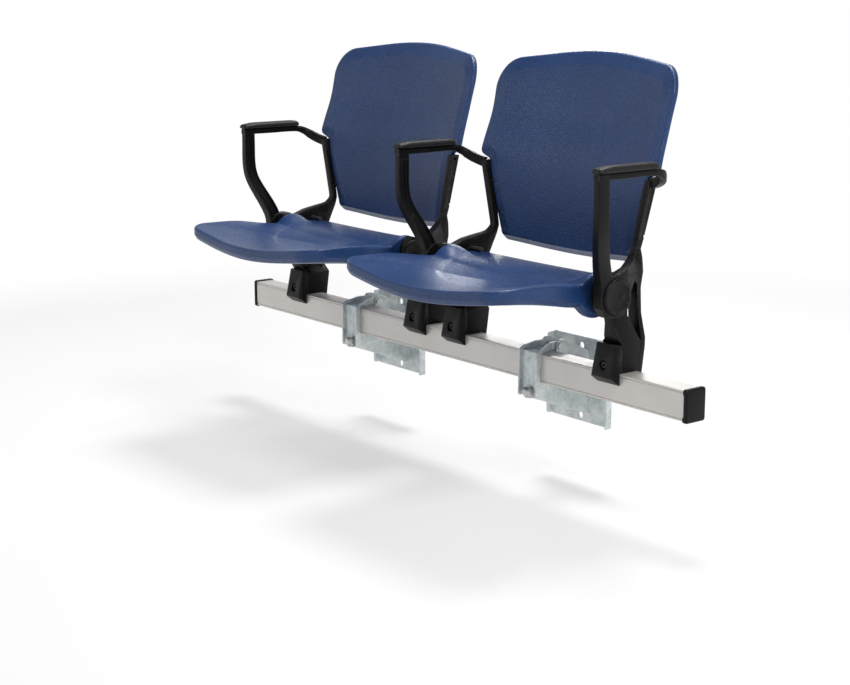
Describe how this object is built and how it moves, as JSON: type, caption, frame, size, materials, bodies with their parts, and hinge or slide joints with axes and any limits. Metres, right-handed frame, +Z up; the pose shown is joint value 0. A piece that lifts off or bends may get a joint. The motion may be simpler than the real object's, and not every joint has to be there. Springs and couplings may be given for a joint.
{
  "type": "stadium seat",
  "caption": "Pair of tip-up stadium seats with shared armrests, clamped by hinged straps to a beam on wall brackets.",
  "frame": {"origin": "middle of the rectangle of the four wall bolts, on the wall plane", "axes": "+X along the beam to the right of someone facing the seats' fronts, +Y into the wall, +Z up; the seats face -Y"},
  "size_m": [1.378, 0.4748, 0.7179],
  "materials": {
    "blue_shell": "fine-grained blow-moulded plastic",
    "black_nylon": "satin glass-filled nylon",
    "black_pad": "soft satin moulded plastic",
    "black_cap": "satin moulded plastic",
    "black_rubber": "matt",
    "black_steel": "black oxide",
    "zinc_steel": "hot-dip zinc with pale mottling",
    "bright_steel": "plated",
    "anodised_aluminium": "natural anodised extrusion",
    "pale_bush": "natural acetal"
  },
  "bodies": {
    "root": {"beam": "anodised_aluminium", "beam_end_cap_left": "black_cap", "wall_plate_left": "zinc_steel", "bracket_arm_left": "zinc_steel", "clamp_strap_left": "zinc_steel", "strap_pin_left": "bright_steel", "strap_bolt_left": "bright_steel", "beam_end_cap_right": "black_cap", "wall_plate_right": "zinc_steel", "bracket_arm_right": "zinc_steel", "clamp_strap_right": "zinc_steel", "strap_pin_right": "bright_steel", "strap_bolt_right": "bright_steel", "left_back_shell": "blue_shell", "right_back_shell": "blue_shell", "standard_left_seat_left": "black_nylon", "clamp_jaw_left_seat_left": "black_nylon", "hub_cap_left_seat_left": "black_nylon", "pivot_pin_left_seat_left": "bright_steel", "standard_left_seat_right": "black_nylon", "clamp_jaw_left_seat_right": "black_nylon", "hub_cap_left_seat_right": "black_nylon", "pivot_pin_left_seat_right": "bright_steel", "standard_right_seat_left": "black_nylon", "clamp_jaw_right_seat_left": "black_nylon", "hub_cap_right_seat_left": "black_nylon", "pivot_pin_right_seat_left": "bright_steel", "standard_right_seat_right": "black_nylon", "clamp_jaw_right_seat_right": "black_nylon", "hub_cap_right_seat_right": "black_nylon", "pivot_pin_right_seat_right": "bright_steel", "left_arm": "black_nylon", "left_arm_pad": "black_pad", "middle_arm": "black_nylon", "middle_arm_pad": "black_pad", "right_arm": "black_nylon", "right_arm_pad": "black_pad", "jaw_screws": "black_steel", "back_screws": "black_steel", "arm_screws": "black_steel", "seat_stop_pegs": "black_rubber"},
    "left_seat": {"left_seat_shell": "blue_shell", "pivot_bush_left_seat_left": "pale_bush", "pivot_bush_left_seat_right": "pale_bush"},
    "right_seat": {"right_seat_shell": "blue_shell", "pivot_bush_right_seat_left": "pale_bush", "pivot_bush_right_seat_right": "pale_bush"}
  },
  "joints": [
    {"name": "left_seat_tip_up", "type": "hinge", "parent": "root", "child": "left_seat", "pos_m": [-0.28, -0.16, 0.219], "axis": [-1, 0, 0], "range_deg": [0, 85]},
    {"name": "right_seat_tip_up", "type": "hinge", "parent": "root", "child": "right_seat", "pos_m": [0.28, -0.16, 0.219], "axis": [-1, 0, 0], "range_deg": [0, 85]}
  ]
}
